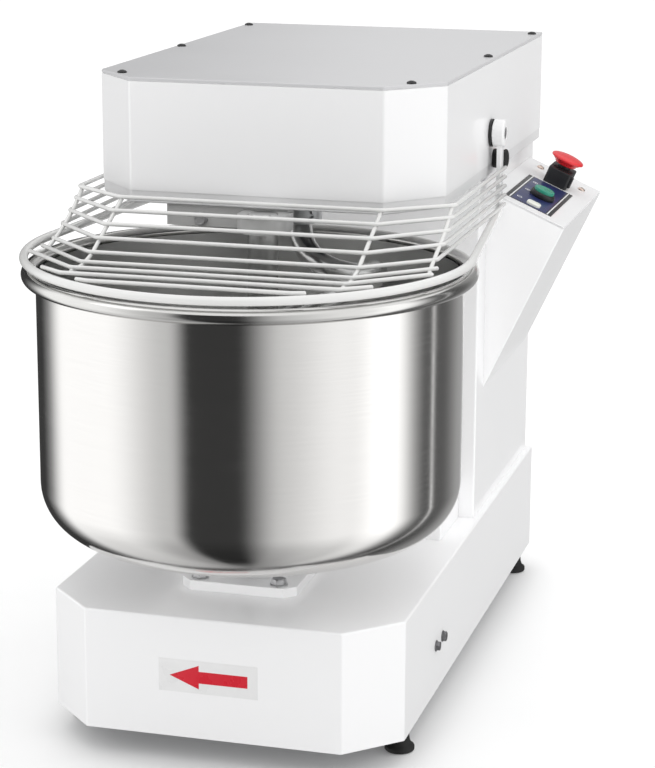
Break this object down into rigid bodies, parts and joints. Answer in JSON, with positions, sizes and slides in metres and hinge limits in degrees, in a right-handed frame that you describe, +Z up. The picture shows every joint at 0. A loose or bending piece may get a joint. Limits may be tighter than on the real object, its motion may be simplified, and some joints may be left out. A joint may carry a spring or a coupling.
{
  "type": "spiral dough mixer",
  "caption": "Floor-standing spiral dough mixer with a turning steel bowl, spiral hook, breaker bar, tilting wire guard and a side control box.",
  "frame": {"origin": "on the floor under the middle of the machine's outline seen from above; the bowl's axis is 18.6 mm to the left of it and 186.75 mm in front of it", "axes": "+Z up, front of the machine faces -Y, +X to the right of someone standing in front of it"},
  "size_m": [0.5171, 0.8604, 0.7016],
  "materials": {
    "white_paint": "glossy",
    "frame_steel": "satin",
    "bare_steel": "satin",
    "stainless": "brushed",
    "zinc_steel": "satin",
    "cast_housing": "matte",
    "gear_cast": "satin",
    "motor_aluminium": "satin",
    "pulley_aluminium": "satin",
    "rubber_black": "matte",
    "black_plastic": "matte",
    "black_screws": "satin",
    "copper_screws": "satin",
    "red_plastic": "glossy",
    "green_plastic": "glossy",
    "lens_white": "glossy",
    "label_blue": "satin",
    "arrow_red": "satin"
  },
  "bodies": {
    "machine": {"base_shell": "white_paint", "base_floor": "frame_steel", "base_chassis": "frame_steel", "feet": "rubber_black", "foot_studs": "zinc_steel", "bearing_plate": "white_paint", "bearing_plate_bolts": "zinc_steel", "bowl_bearing_housing": "cast_housing", "bowl_bearings": "bare_steel", "drive_step": "white_paint", "column_shell": "white_paint", "column_frame": "frame_steel", "rear_cover": "white_paint", "rear_cover_screws": "zinc_steel", "cable_gland": "black_plastic", "head_pan": "white_paint", "head_plate": "frame_steel", "hood_shell": "white_paint", "hood_lid": "white_paint", "lid_screws": "black_screws", "spiral_bearing_housing": "cast_housing", "spiral_bearings": "bare_steel", "motor_body": "motor_aluminium", "motor_fan_cover": "black_plastic", "motor_terminal_box": "black_plastic", "gearbox": "gear_cast", "gearbox_bolts": "zinc_steel", "spiral_belt": "rubber_black", "bowl_belt": "rubber_black", "breaker_bracket": "white_paint", "breaker_bar": "stainless", "frame_bolts": "zinc_steel", "guard_bushes": "black_plastic", "guard_stops": "rubber_black", "guard_switch": "black_plastic", "control_box": "white_paint", "control_panel": "white_paint", "panel_label": "label_blue", "panel_screws": "copper_screws", "start_bezel": "black_plastic", "lamp_lens": "lens_white", "stop_housing": "black_plastic", "contactor": "black_plastic", "direction_arrow": "arrow_red"},
    "bowl_unit": {"bowl": "stainless", "bowl_hub": "bare_steel", "bowl_hub_bolts": "zinc_steel", "bowl_pulley": "pulley_aluminium"},
    "drive_unit": {"drive_shaft": "bare_steel", "bowl_drive_pulley": "bare_steel", "spiral_drive_pulley": "pulley_aluminium"},
    "spiral_unit": {"spiral_shaft": "bare_steel", "spiral_hook": "stainless", "spiral_pulley": "pulley_aluminium"},
    "guard": {"guard_ring": "white_paint", "guard_wires": "white_paint", "guard_arms": "white_paint"},
    "start_key": {"start_button": "green_plastic"},
    "stop_stem": {"stop_plunger": "black_plastic"},
    "stop_head": {"stop_button": "red_plastic"}
  },
  "joints": [
    {"name": "bowl_spin", "type": "hinge", "parent": "machine", "child": "bowl_unit", "pos_m": [-0.0186, -0.18675, 0.2], "axis": [0, 0, -1], "continuous": true},
    {"name": "drive_spin", "type": "hinge", "parent": "machine", "child": "drive_unit", "pos_m": [-0.0186, 0.15825, 0.4], "axis": [0, 0, -1], "continuous": true},
    {"name": "spiral_spin", "type": "hinge", "parent": "machine", "child": "spiral_unit", "pos_m": [0.0004, -0.06575, 0.6], "axis": [0, 0, -1], "continuous": true},
    {"name": "guard_tilt", "type": "hinge", "parent": "machine", "child": "guard", "pos_m": [-0.0186, 0.11625, 0.615], "axis": [-1, 0, 0], "range_deg": [0, 110]},
    {"name": "start_press", "type": "slide", "parent": "machine", "child": "start_key", "axis": [-0.4003, 0, -0.9164], "range_m": [0, 0.004], "stiffness_N_per_m": 500, "springref_m": -0.002},
    {"name": "stop_press", "type": "slide", "parent": "machine", "child": "stop_stem", "axis": [-0.4003, 0, -0.9164], "range_m": [0, 0.0035]},
    {"name": "stop_twist", "type": "hinge", "parent": "stop_stem", "child": "stop_head", "pos_m": [0.21413, 0.32525, 0.52608], "axis": [-0.4003, 0, -0.9164], "range_deg": [0, 30], "stiffness_Nm_per_rad": 0.05}
  ],
  "couplings": [
    {"joint": "drive_spin", "follows": "bowl_spin", "ratio": 5.5},
    {"joint": "spiral_spin", "follows": "bowl_spin", "ratio": 10}
  ]
}
